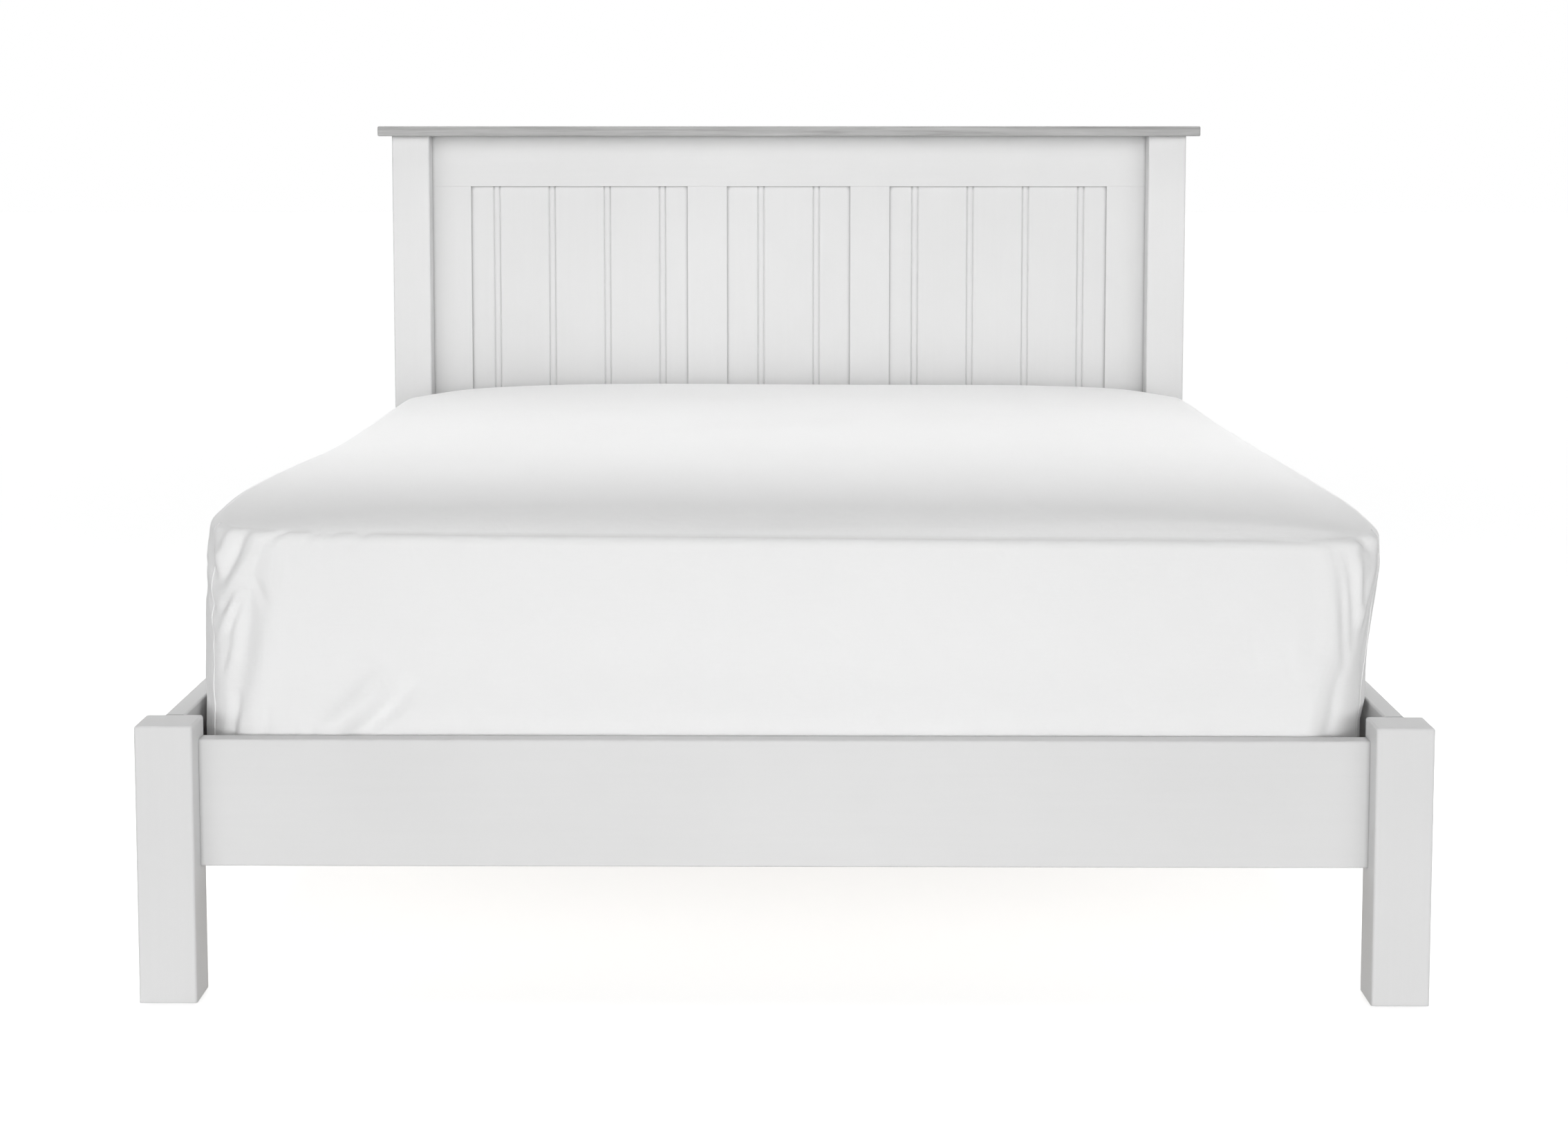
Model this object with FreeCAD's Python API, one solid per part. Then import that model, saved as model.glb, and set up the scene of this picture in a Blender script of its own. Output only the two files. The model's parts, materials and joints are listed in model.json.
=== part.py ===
import FreeCAD, Part
import math
import os

# Panel bed with a low foot end, for a king size mattress. All sizes are in millimetres.
# X runs across the bed, Y from the foot end to the head end, and Z up from the floor.
# The origin lies on the floor under the middle of the bed's outline.

# Mattress: a deep block with rolled edges, a crown, and sides that draw in a little
mattress_width = 1500.0
mattress_length = 2000.0
mattress_height = 305.0
mattress_crown = 24.0
mattress_corner = 48.0
mattress_bottom_roll = 24.0
mattress_top_roll = 22.0
mattress_waist = 5.0
mattress_side_bow = 6.0
crown_flat_half_width = 170.0
crown_corner = 120.0
roll_steps = 4
crown_steps = 4
corner_chords = 6

# Fitted sheet: one skin round the mattress, turned under it
sheet_thickness = 1.5
sheet_turn_under = 130.0
soft_gap = 0.3

# Room round the mattress
side_clearance = 10.5
end_clearance = 8.0

# Posts
foot_post_width = 73.0
foot_post_depth = 64.0
foot_post_height = 357.0
head_post_width = 76.0
head_post_depth = 70.0
head_post_height = 1085.0
post_arris = 3.5
glide_height = 3.0

# Cap over the headboard
cap_thickness = 20.0
cap_front_overhang = 25.0
cap_back_overhang = 10.0
cap_side_overhang = 25.0
cap_arris = 3.0

# Headboard frame, flush with the backs of the posts
frame_thickness = 24.0
top_rail_height = 103.0
bottom_rail_base = 169.0
bottom_rail_height = 120.0
stile_width = 79.0
muntin_width = 81.0
centre_panel_width = 254.0

# Panel boards: tongue and groove, with a bead beside every joint
board_thickness = 12.0
board_recess = 7.0
board_pitch = 114.0
narrowest_end_board = 30.0
bead_width = 11.5
quirk_depth = 2.4
tongue_thickness = 4.0
tongue_length = 6.0
tongue_back = 3.0
tongue_fit = 0.1
groove_depth = 10.0
expansion_gap = 1.0

# Rails round the bed
rail_thickness = 26.0
rail_setback = 23.5
rail_base = 169.0
foot_rail_height = 163.0
foot_rail_back_inset = 4.0
rail_arris = 3.0

# Tenons of the foot rail and of the headboard rails
tenon_thickness = 12.0
tenon_length = 28.0
tenon_shoulder = 12.0
tenon_end_gap = 1.0

# Slats, their ledges and the centre beam
ledge_top = 250.0
ledge_width = 22.0
ledge_height = 30.0
ledge_end_gap = 5.0
slat_count = 13
slat_width = 80.0
slat_thickness = 18.0
slat_end_gap = 3.0
slat_edge = 2.0
beam_width = 45.0
beam_height = 60.0
beam_end_gap = 0.5
leg_width = 45.0
leg_spread = 345.0
leg_edge = 3.0

# Beam brackets: folded steel stirrups
bracket_gauge = 2.5
bracket_depth = 35.0
bracket_height = 45.0
bracket_ear = 20.0
bracket_fit = 0.3
bracket_screw_inset = 10.0

# Screws
screw_head_radius = 4.0
screw_head_height = 2.4
screw_radius = 2.0
screw_fit = 0.15
slat_screw_length = 35.0
ledge_screw_length = 35.0
bracket_screw_length = 16.0
screw_sides = 8

# Small round stock: bolts, dowels and pins
rod_sides = 12

# Hanger bolts that draw the side rails to the posts, each in a half-moon pocket
bolt_radius = 4.0
bolt_fit = 0.3
bolt_height = 292.0
bolt_in_post = 40.0
bolt_tail = 3.0
pocket_distance = 55.0
pocket_radius = 24.0
pocket_wall = 4.0
washer_radius = 8.5
washer_thickness = 2.0
washer_clearance = 0.5
nut_flats = 13.0
nut_height = 6.5

# Dowels
dowel_radius = 5.0
dowel_length = 40.0
dowel_fit = 0.1
dowel_end_gap = 0.5
rail_dowel_heights = (212.0, 332.0)
cap_dowel_depth = 12.0
cap_dowel_offset = 260.0

# Glides under the posts and the legs
post_glide_radius = 16.0
leg_glide_radius = 12.0
glide_pin_radius = 2.5
glide_pin_length = 15.0
glide_fit = 0.1

# Places that follow from the sizes
rail_inner = mattress_width / 2 + side_clearance
rail_outer = rail_inner + rail_thickness
rail_middle = (rail_inner + rail_outer) / 2
post_outer = rail_outer + rail_setback
foot_post_inner = post_outer - foot_post_width
head_post_inner = post_outer - head_post_width
bay_length = mattress_length + 2 * end_clearance
overall_length = foot_post_depth + bay_length + head_post_depth + cap_back_overhang
foot_front = -overall_length / 2
bay_start = foot_front + foot_post_depth
bay_end = bay_start + bay_length
head_back = bay_end + head_post_depth

frame_back = head_back
frame_front = frame_back - frame_thickness
frame_middle = (frame_front + frame_back) / 2
board_front = frame_front + board_recess
board_back = board_front + board_thickness
top_rail_base = head_post_height - top_rail_height
bottom_rail_top = bottom_rail_base + bottom_rail_height
centre_panel_edge = centre_panel_width / 2
side_panel_inner = centre_panel_edge + muntin_width
side_panel_outer = head_post_inner - stile_width

foot_rail_back = bay_start - foot_rail_back_inset
foot_rail_front = foot_rail_back - rail_thickness
foot_rail_middle = (foot_rail_front + foot_rail_back) / 2
foot_rail_top = rail_base + foot_rail_height

pocket_depth = rail_thickness - pocket_wall
bolt_middle = rail_inner + pocket_depth - washer_clearance - washer_radius

ledge_base = ledge_top - ledge_height
ledge_inner = rail_inner - ledge_width
slat_top = ledge_top + slat_thickness
slat_half_length = rail_inner - slat_end_gap
slat_pitch = bay_length / slat_count
beam_base = ledge_top - beam_height

mattress_middle = (bay_start + bay_end) / 2
mattress_base = slat_top + soft_gap + sheet_thickness + soft_gap
mattress_top = mattress_base + mattress_height


def vector(x, y, z):
    return FreeCAD.Vector(x, y, z)


X_AXIS = vector(1, 0, 0)
Y_AXIS = vector(0, 1, 0)
Z_AXIS = vector(0, 0, 1)


def box(x_span, y_span, z_span):
    """Block between two values on each axis."""
    low = vector(min(x_span), min(y_span), min(z_span))
    high = vector(max(x_span), max(y_span), max(z_span))
    size = high - low
    return Part.makeBox(size.x, size.y, size.z, low)


def edges_along(shape, axis):
    """Straight edges of the shape that run along one axis."""
    found = []
    for edge in shape.Edges:
        run = edge.Vertexes[-1].Point - edge.Vertexes[0].Point
        if abs(run.normalize().dot(axis)) > 0.999:
            found.append(edge)
    return found


def ring(radius, centre, axis, sides):
    """Corners of a regular polygon round an axis."""
    across = axis.cross(X_AXIS if abs(axis.x) < 0.5 else Z_AXIS)
    upward = axis.cross(across)
    corners = []
    for number in range(sides):
        angle = 2 * math.pi * number / sides
        corners.append(centre + across * (radius * math.cos(angle)) + upward * (radius * math.sin(angle)))
    return corners


def flat_face(points):
    return Part.Face(Part.makePolygon(points + points[:1]))


def ruled_solid(rings):
    """Ruled body through rings of like corners, whose sides run parallel from ring to ring.

    It has one flat face between each pair of neighbouring sides, and one over each end.
    """
    faces = [flat_face(rings[0]), flat_face(rings[-1])]
    for lower, upper in zip(rings, rings[1:]):
        for number in range(len(lower)):
            after = (number + 1) % len(lower)
            faces.append(flat_face([lower[number], lower[after], upper[after], upper[number]]))
    solid = Part.makeSolid(Part.makeShell(faces))
    if solid.Volume < 0:
        solid.reverse()
    return solid


def rod(radius, length, start, axis):
    """Small round stock, such as a pin, a bolt or the hole for one, drawn with a few flat sides."""
    return flat_face(ring(radius, start, axis, rod_sides)).extrude(axis * length)


def mirrored(shape):
    """The same piece on the other side of the bed."""
    return shape.mirror(vector(0, 0, 0), X_AXIS)


def one_solid(pieces):
    """Joins blocks of one piece of wood or metal."""
    whole = pieces[0].fuse(pieces[1:])
    return whole.removeSplitter().Solids[0]


def save(name, shape):
    """Writes one named piece, or a group of like pieces."""
    if isinstance(shape, list):
        shape = Part.makeCompound(shape)
    shape.exportStep("parts/" + name + ".step")


def save_pair(name, right_shape):
    save(name + "_right", right_shape)
    save(name + "_left", mirrored(right_shape))


# Fastenings

def screw(head, direction, length, fit=0.0):
    """Countersunk wood screw from its head's outer face; fit widens it into its own hole."""
    rings = [
        ring(screw_head_radius + fit, head, direction, screw_sides),
        ring(screw_radius + fit, head + direction * (screw_head_height + fit), direction, screw_sides),
        ring(screw_radius + fit, head + direction * (length + fit), direction, screw_sides),
    ]
    return ruled_solid(rings)


def slat_centres():
    return [bay_start + slat_pitch * (number + 0.5) for number in range(slat_count)]


def slat_screws(fit=0.0):
    """One screw through each end of each slat, down into its ledge."""
    middle = (ledge_inner + slat_half_length) / 2
    screws = []
    for centre in slat_centres():
        for x in (-middle, middle):
            screws.append(screw(vector(x, centre, slat_top), -Z_AXIS, slat_screw_length, fit))
    return screws


def ledge_screws(side, fit=0.0):
    """Screws from the ledge into its side rail, one in every third gap between slats."""
    screws = []
    for number in range(2, slat_count, 3):
        head = vector(side * ledge_inner, bay_start + slat_pitch * number, ledge_base + ledge_height / 2)
        screws.append(screw(head, X_AXIS * side, ledge_screw_length, fit))
    return screws


def bracket_screws(face, direction, fit=0.0):
    """Four screws of one beam bracket, through its ears into the rail behind it."""
    x = beam_width / 2 + bracket_fit + bracket_gauge + bracket_ear / 2
    low = beam_base - bracket_gauge + bracket_screw_inset
    high = beam_base + bracket_height - bracket_screw_inset
    screws = []
    for place in (-x, x):
        for z in (low, high):
            head = vector(place, face + direction * bracket_gauge, z)
            screws.append(screw(head, Y_AXIS * -direction, bracket_screw_length, fit))
    return screws


def dowel(centre, axis, fit=0.0, end_gap=0.0):
    """Plain round dowel about its middle; the fit and end gap make its hole."""
    half = dowel_length / 2 + end_gap
    return rod(dowel_radius + fit, 2 * half, centre - axis * half, axis)


def dowels(fit=0.0, end_gap=0.0):
    """All dowels: side rails to posts, cap to posts and top rail, beam to legs."""
    seats = []
    for side in (-1, 1):
        for y in (bay_start, bay_end):
            for z in rail_dowel_heights:
                seats.append((vector(side * rail_middle, y, z), Y_AXIS))
        cap_z = head_post_height + cap_dowel_depth - dowel_length / 2
        post_x = side * (head_post_inner + head_post_width / 2)
        seats.append((vector(post_x, bay_end + head_post_depth / 2, cap_z), Z_AXIS))
        seats.append((vector(side * cap_dowel_offset, frame_middle, cap_z), Z_AXIS))
        seats.append((vector(0, side * leg_spread, beam_base), Z_AXIS))
    return [dowel(centre, axis, fit, end_gap) for centre, axis in seats]


def dowel_holes():
    return dowels(dowel_fit, dowel_end_gap)


def bolt_ends(side):
    """Where a side rail meets its posts: the post face and the way into the rail."""
    return [
        (vector(side * bolt_middle, bay_start, bolt_height), Y_AXIS),
        (vector(side * bolt_middle, bay_end, bolt_height), -Y_AXIS),
    ]


def hanger_bolt(seat, inward, fit=0.0):
    """Stud from inside the post, through the rail's end, into the half-moon pocket."""
    reach = pocket_distance + washer_thickness + nut_height + bolt_tail
    start = seat - inward * (bolt_in_post + fit)
    return rod(bolt_radius + fit, bolt_in_post + reach + 2 * fit, start, inward)


def bolt_washer(seat, inward):
    face = seat + inward * pocket_distance
    disc = rod(washer_radius, washer_thickness, face, inward)
    return disc.cut(rod(bolt_radius + bolt_fit, washer_thickness, face, inward))


def bolt_nut(seat, inward):
    """Hexagon nut against the washer."""
    face = seat + inward * (pocket_distance + washer_thickness)
    corner_radius = nut_flats / 2 / math.cos(math.pi / 6)
    prism = flat_face(ring(corner_radius, face, inward, 6)).extrude(inward * nut_height)
    return prism.cut(rod(bolt_radius + bolt_fit, nut_height, face, inward))


def bolt_pocket(seat, inward, side):
    """Half-moon pocket in the rail's inner face, its flat wall towards the post."""
    middle = seat + inward * pocket_distance
    middle.x = side * rail_inner
    disc = Part.makeCylinder(pocket_radius, pocket_depth, middle, X_AXIS * side)
    far = middle.y + inward.y * 2 * pocket_radius
    keep = box(
        (side * rail_inner, side * (rail_inner + pocket_depth)), (middle.y, far),
        (middle.z - pocket_radius, middle.z + pocket_radius))
    return disc.common(keep)


def glide(x, y, radius, fit=0.0):
    """Nail-on glide: a disc on the floor with a pin up into the wood."""
    disc = Part.makeCylinder(radius, glide_height, vector(x, y, 0), Z_AXIS)
    pin = rod(glide_pin_radius + fit, glide_height + glide_pin_length + fit, vector(x, y, 0), Z_AXIS)
    return one_solid([disc, pin])


def post_glide_places():
    foot_x = post_outer - foot_post_width / 2
    head_x = post_outer - head_post_width / 2
    foot_y = foot_front + foot_post_depth / 2
    head_y = bay_end + head_post_depth / 2
    return [(foot_x, foot_y), (-foot_x, foot_y), (head_x, head_y), (-head_x, head_y)]


def post_glides(fit=0.0):
    return [glide(x, y, post_glide_radius, fit) for x, y in post_glide_places()]


def leg_glides(fit=0.0):
    return [glide(0, y, leg_glide_radius, fit) for y in (-leg_spread, leg_spread)]


# Headboard

def rail_tenon(post_inner, middle_y, base, top, end_gap=0.0):
    """Tenon of a cross rail in the right-hand post; the end gap makes its mortise."""
    y_span = (middle_y - tenon_thickness / 2, middle_y + tenon_thickness / 2)
    z_span = (base + tenon_shoulder, top - tenon_shoulder)
    return box((post_inner, post_inner + tenon_length + end_gap), y_span, z_span)


def cross_rail(post_inner, y_span, base, top):
    """Rail between two posts, with a tenon at each end."""
    middle_y = sum(y_span) / 2
    tenon = rail_tenon(post_inner, middle_y, base, top)
    body = box((-post_inner, post_inner), y_span, (base, top))
    return one_solid([body, tenon, mirrored(tenon)])


def headboard_top_rail():
    rail = cross_rail(head_post_inner, (frame_front, frame_back), top_rail_base, head_post_height)
    groove = box(
        (-head_post_inner, head_post_inner), (board_front, board_back),
        (top_rail_base, top_rail_base + groove_depth))
    return rail.cut([groove] + dowel_holes())


def headboard_bottom_rail():
    rail = cross_rail(head_post_inner, (frame_front, frame_back), bottom_rail_base, bottom_rail_top)
    groove = box(
        (-head_post_inner, head_post_inner), (board_front, board_back),
        (bottom_rail_top - groove_depth, bottom_rail_top))
    return rail.cut([groove] + bracket_screws(frame_front, -1, screw_fit))


def headboard_upright(x_low, x_high, grooves):
    """Stile or muntin: stub tenons into the rails' grooves, and a groove on each panel side."""
    body = box((x_low, x_high), (frame_front, frame_back), (bottom_rail_top, top_rail_base))
    tongue_low = x_low + groove_depth if x_low in grooves else x_low
    tongue_high = x_high - groove_depth if x_high in grooves else x_high
    tongue = box(
        (tongue_low, tongue_high), (board_front, board_back),
        (bottom_rail_top - groove_depth, top_rail_base + groove_depth))
    upright = one_solid([body, tongue])
    for edge in grooves:
        inward = groove_depth if edge == x_low else -groove_depth
        slot = box(
            (edge, edge + inward), (board_front, board_back),
            (bottom_rail_top - groove_depth, top_rail_base + groove_depth))
        upright = upright.cut(slot)
    return upright


def straight_runs(points):
    """Straight edges from each point to the next."""
    return [Part.LineSegment(start, end).toShape() for start, end in zip(points, points[1:])]


def board_outline(left, right, left_joint, right_joint):
    """Plan of one board. A left joint has the bead and the groove, a right joint the tongue."""
    quirk = board_front + quirk_depth
    tongue_far = board_back - tongue_back
    tongue_near = tongue_far - tongue_thickness
    edges = []
    if left_joint:
        start = (left, quirk)
        bead_top = (left + bead_width / 2, board_front)
        bead_end = (left + bead_width, quirk)
        edges.append(Part.Arc(vector(*start, 0), vector(*bead_top, 0), vector(*bead_end, 0)).toShape())
        points = [bead_end, (bead_end[0] + quirk_depth, board_front)]
    else:
        start = (left, board_front)
        points = [start]
    if right_joint:
        points += [(right - quirk_depth, board_front), (right, quirk)]
        points += [(right, tongue_near), (right + tongue_length, tongue_near)]
        points += [(right + tongue_length, tongue_far), (right, tongue_far), (right, board_back)]
    else:
        points += [(right, board_front), (right, board_back)]
    points.append((left, board_back))
    if left_joint:
        slot = left + tongue_length + expansion_gap
        points += [(left, tongue_far + tongue_fit), (slot, tongue_far + tongue_fit)]
        points += [(slot, tongue_near - tongue_fit), (left, tongue_near - tongue_fit)]
    points.append(start)
    return Part.Wire(edges + straight_runs([vector(x, y, 0) for x, y in points]))


def panel_boards(edge_low, edge_high):
    """Boards of one panel, set out from its middle so that both end boards match."""
    middle = (edge_low + edge_high) / 2
    half = (edge_high - edge_low) / 2
    half_count = int((half - narrowest_end_board) / board_pitch + 0.5)
    joints = []
    for number in range(-half_count, half_count):
        joints.append(middle + board_pitch * (number + 0.5) - bead_width / 2)
    reach = groove_depth - expansion_gap
    limits = [edge_low - reach] + joints + [edge_high + reach]
    base = bottom_rail_top - groove_depth
    height = top_rail_base + reach - base
    boards = []
    for number in range(len(limits) - 1):
        outline = board_outline(
            limits[number], limits[number + 1], number > 0, number < len(limits) - 2)
        board = Part.Face(outline).extrude(Z_AXIS * height)
        board.translate(Z_AXIS * base)
        boards.append(board)
    return boards


def headboard_cap():
    cap = box(
        (-post_outer - cap_side_overhang, post_outer + cap_side_overhang),
        (bay_end - cap_front_overhang, head_back + cap_back_overhang),
        (head_post_height, head_post_height + cap_thickness))
    return cap.makeFillet(cap_arris, cap.Edges).cut(dowel_holes())


# Posts and rails

def post_drillings():
    """Everything bored into the right-hand posts from the side rail, the cap and the floor."""
    bolts = [hanger_bolt(seat, inward, bolt_fit) for seat, inward in bolt_ends(1)]
    return bolts + dowel_holes() + post_glides(glide_fit)


def head_post():
    post = box((head_post_inner, post_outer), (bay_end, head_back), (glide_height, head_post_height))
    post = post.makeFillet(post_arris, edges_along(post, Z_AXIS))
    mortises = [
        rail_tenon(head_post_inner, frame_middle, top_rail_base, head_post_height, tenon_end_gap),
        rail_tenon(head_post_inner, frame_middle, bottom_rail_base, bottom_rail_top, tenon_end_gap),
    ]
    return post.cut(mortises + post_drillings())


def foot_post():
    """Foot post: all its edges above the floor are eased, with its top left open to view."""
    post = box((foot_post_inner, post_outer), (foot_front, bay_start), (glide_height, foot_post_height))
    eased = [edge for edge in post.Edges if edge.BoundBox.ZMax > foot_post_height / 2]
    post = post.makeFillet(post_arris, eased)
    mortise = rail_tenon(foot_post_inner, foot_rail_middle, rail_base, foot_rail_top, tenon_end_gap)
    return post.cut([mortise] + post_drillings())


def foot_rail():
    rail = box((-foot_post_inner, foot_post_inner), (foot_rail_front, foot_rail_back), (rail_base, foot_rail_top))
    rail = rail.makeFillet(rail_arris, edges_along(rail, X_AXIS))
    tenon = rail_tenon(foot_post_inner, foot_rail_middle, rail_base, foot_rail_top)
    rail = one_solid([rail, tenon, mirrored(tenon)])
    return rail.cut(bracket_screws(foot_rail_back, 1, screw_fit))


def side_rail():
    """Right-hand side rail, with a bolt hole, a half-moon pocket and two dowel holes at each end."""
    rail = box((rail_inner, rail_outer), (bay_start, bay_end), (rail_base, foot_post_height))
    rail = rail.makeFillet(rail_arris, edges_along(rail, Y_AXIS))
    cutters = dowel_holes() + ledge_screws(1, screw_fit)
    for seat, inward in bolt_ends(1):
        cutters.append(hanger_bolt(seat, inward, bolt_fit))
        cutters.append(bolt_pocket(seat, inward, 1))
    return rail.cut(cutters)


# Mattress support

def slat_ledge():
    ledge = box(
        (ledge_inner, rail_inner), (bay_start + ledge_end_gap, bay_end - ledge_end_gap),
        (ledge_base, ledge_top))
    return ledge.cut(ledge_screws(1, screw_fit) + slat_screws(screw_fit))


def slat(centre, holes):
    board = box(
        (-slat_half_length, slat_half_length), (centre - slat_width / 2, centre + slat_width / 2),
        (ledge_top, slat_top))
    board = board.makeChamfer(slat_edge, edges_along(board, X_AXIS))
    return board.cut(holes)


def centre_beam():
    beam = box(
        (-beam_width / 2, beam_width / 2), (foot_rail_back + beam_end_gap, frame_front - beam_end_gap),
        (beam_base, ledge_top))
    return beam.cut(dowel_holes())


def centre_leg(y):
    leg = box(
        (-leg_width / 2, leg_width / 2), (y - leg_width / 2, y + leg_width / 2), (glide_height, beam_base))
    leg = leg.makeChamfer(leg_edge, edges_along(leg, Z_AXIS))
    return leg.cut(dowel_holes() + leg_glides(glide_fit))


def beam_bracket(face, direction):
    """Folded stirrup that holds one end of the beam: a saddle, two cheeks and two ears."""
    inner = beam_width / 2 + bracket_fit
    outer = inner + bracket_gauge
    reach = (face, face + direction * bracket_depth)
    ear_reach = (face, face + direction * bracket_gauge)
    base = beam_base - bracket_gauge
    top = beam_base + bracket_height
    blocks = [box((-outer, outer), reach, (base, beam_base))]
    for side in (-1, 1):
        blocks.append(box((side * inner, side * outer), reach, (base, top)))
        blocks.append(box((side * outer, side * (outer + bracket_ear)), ear_reach, (base, top)))
    return one_solid(blocks).cut(bracket_screws(face, direction, screw_fit))


# Mattress and sheet

def plan_ring(half_x, half_y, corner, height):
    """Plan of the mattress at one height: rounded corners, and sides drawn in to their middle.

    Corner chords and sides keep their directions at all heights, so every face of the body is flat.
    """
    draw_x = mattress_side_bow * (half_y - corner) / (mattress_length / 2)
    draw_y = mattress_side_bow * (half_x - corner) / (mattress_width / 2)
    side_middles = [
        vector(0, half_y - draw_y, 0), vector(draw_x - half_x, 0, 0),
        vector(0, draw_y - half_y, 0), vector(half_x - draw_x, 0, 0),
    ]
    points = []
    for number, side_middle in enumerate(side_middles):
        side_x = 1 if number in (0, 3) else -1
        side_y = 1 if number in (0, 1) else -1
        centre = vector(side_x * (half_x - corner), side_y * (half_y - corner), 0)
        for step in range(corner_chords + 1):
            angle = math.pi / 2 * (number + step / corner_chords)
            points.append(centre + vector(math.cos(angle), math.sin(angle), 0) * corner)
        points.append(side_middle)
    return [point + vector(0, mattress_middle, height) for point in points]


def mattress_form(skin):
    """Mattress body, grown outwards by the thickness of whatever skin lies on it."""
    sections = []
    for step in range(roll_steps + 1):
        angle = math.pi / 2 * step / roll_steps
        reach = mattress_bottom_roll + skin
        inset = mattress_bottom_roll - reach * math.sin(angle)
        sections.append((inset, mattress_base + mattress_bottom_roll - reach * math.cos(angle), 0.0))
    low = mattress_base + mattress_bottom_roll
    high = mattress_top - mattress_top_roll
    sections.append((mattress_waist - skin, (low + high) / 2, 0.0))
    for step in range(roll_steps + 1):
        angle = math.pi / 2 * step / roll_steps
        reach = mattress_top_roll + skin
        sections.append((mattress_top_roll - reach * math.cos(angle), high + reach * math.sin(angle), 0.0))
    crown_run = mattress_width / 2 - mattress_top_roll - crown_flat_half_width
    for step in range(1, crown_steps + 1):
        share = step / crown_steps
        rise = mattress_crown * (1 - (1 - share) ** 2)
        sections.append((mattress_top_roll + crown_run * share, mattress_top + rise + skin, share))
    rings = []
    for inset, height, share in sections:
        corner = mattress_corner + skin + (crown_corner - mattress_corner) * share
        rings.append(plan_ring(mattress_width / 2 - inset, mattress_length / 2 - inset, corner, height))
    return ruled_solid(rings)


def fitted_sheet():
    """Sheet skin over the mattress, open underneath inside its turned-under hem."""
    skin = mattress_form(soft_gap + sheet_thickness).cut(mattress_form(soft_gap))
    half_x = mattress_width / 2 - sheet_turn_under
    half_y = mattress_length / 2 - sheet_turn_under
    opening = plan_ring(half_x, half_y, mattress_corner, slat_top)
    opening = flat_face(opening).extrude(Z_AXIS * (mattress_base - slat_top))
    return skin.cut(opening)


def main():
    os.makedirs("parts", exist_ok=True)

    save_pair("head_post", head_post())
    save("headboard_cap", headboard_cap())
    save("headboard_top_rail", headboard_top_rail())
    save("headboard_bottom_rail", headboard_bottom_rail())
    save_pair("headboard_stile", headboard_upright(side_panel_outer, head_post_inner, [side_panel_outer]))
    muntin_edges = [centre_panel_edge, side_panel_inner]
    save_pair("headboard_muntin", headboard_upright(*muntin_edges, muntin_edges))
    for number, board in enumerate(panel_boards(side_panel_inner, side_panel_outer), 1):
        save(f"panel_board_right_{number}", board)
        save(f"panel_board_left_{number}", mirrored(board))
    for number, board in enumerate(panel_boards(-centre_panel_edge, centre_panel_edge), 1):
        save(f"panel_board_centre_{number}", board)

    save_pair("foot_post", foot_post())
    save("foot_rail", foot_rail())
    save_pair("side_rail", side_rail())
    save_pair("slat_ledge", slat_ledge())
    holes = slat_screws(screw_fit)
    for number, centre in enumerate(slat_centres(), 1):
        save(f"slat_{number:02d}", slat(centre, holes))
    save("centre_beam", centre_beam())
    save("centre_leg_foot", centre_leg(-leg_spread))
    save("centre_leg_head", centre_leg(leg_spread))
    save("beam_bracket_foot", beam_bracket(foot_rail_back, 1))
    save("beam_bracket_head", beam_bracket(frame_front, -1))

    ends = bolt_ends(1) + bolt_ends(-1)
    save("hanger_bolts", [hanger_bolt(*end) for end in ends])
    save("bolt_washers", [bolt_washer(*end) for end in ends])
    save("bolt_nuts", [bolt_nut(*end) for end in ends])
    save("dowels", dowels())
    save("slat_screws", slat_screws())
    save("ledge_screws", ledge_screws(1) + ledge_screws(-1))
    save("bracket_screws", bracket_screws(foot_rail_back, 1) + bracket_screws(frame_front, -1))
    save("post_glides", post_glides())
    save("leg_glides", leg_glides())

    save("mattress", mattress_form(0.0))
    save("fitted_sheet", fitted_sheet())


main()
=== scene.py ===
# %% [markdown]
# # A white panel bed, finished for a picture
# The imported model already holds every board, rail, bolt and screw in its true place.
# This lesson lights it, gives each timber and metal its finish, and makes the two
# soft things on it, the mattress and its fitted sheet, out of sums on arrays of points.

# %% Load the bed
import bpy
import json
import math
import numpy as np
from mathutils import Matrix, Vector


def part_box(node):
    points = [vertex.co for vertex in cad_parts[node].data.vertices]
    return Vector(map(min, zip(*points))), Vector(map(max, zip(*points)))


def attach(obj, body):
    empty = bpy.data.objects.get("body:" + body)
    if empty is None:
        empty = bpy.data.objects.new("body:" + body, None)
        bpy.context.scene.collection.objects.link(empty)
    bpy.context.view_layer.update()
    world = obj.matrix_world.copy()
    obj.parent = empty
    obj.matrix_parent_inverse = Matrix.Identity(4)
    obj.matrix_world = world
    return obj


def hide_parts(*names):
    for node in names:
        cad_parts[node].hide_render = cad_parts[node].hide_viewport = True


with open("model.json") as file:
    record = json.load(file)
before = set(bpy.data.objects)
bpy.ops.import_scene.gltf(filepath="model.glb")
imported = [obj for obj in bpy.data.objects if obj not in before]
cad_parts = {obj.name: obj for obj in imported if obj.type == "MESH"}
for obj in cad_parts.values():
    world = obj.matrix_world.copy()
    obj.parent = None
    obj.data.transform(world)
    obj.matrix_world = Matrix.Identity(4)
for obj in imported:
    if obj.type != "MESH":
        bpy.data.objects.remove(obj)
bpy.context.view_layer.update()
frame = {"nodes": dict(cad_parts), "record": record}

# %% [markdown]
# ## The camera
# The photograph looks at the foot end from about eye height for someone sitting, almost
# on the bed's middle line, with a moderately long lens. The posts look almost upright in
# it. A lens shift keeps them so while it lowers the view; the rest is a slight tilt of
# the camera downwards.

# %% Camera
lens_mm, sensor_mm = 58.02, 36.0
shift_right, shift_up = 0.0044, -0.14
camera_place = (0.0157, -4.1699, 1.0962)
tilt_down, turn_left = 0.08636, 0.00754

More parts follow.
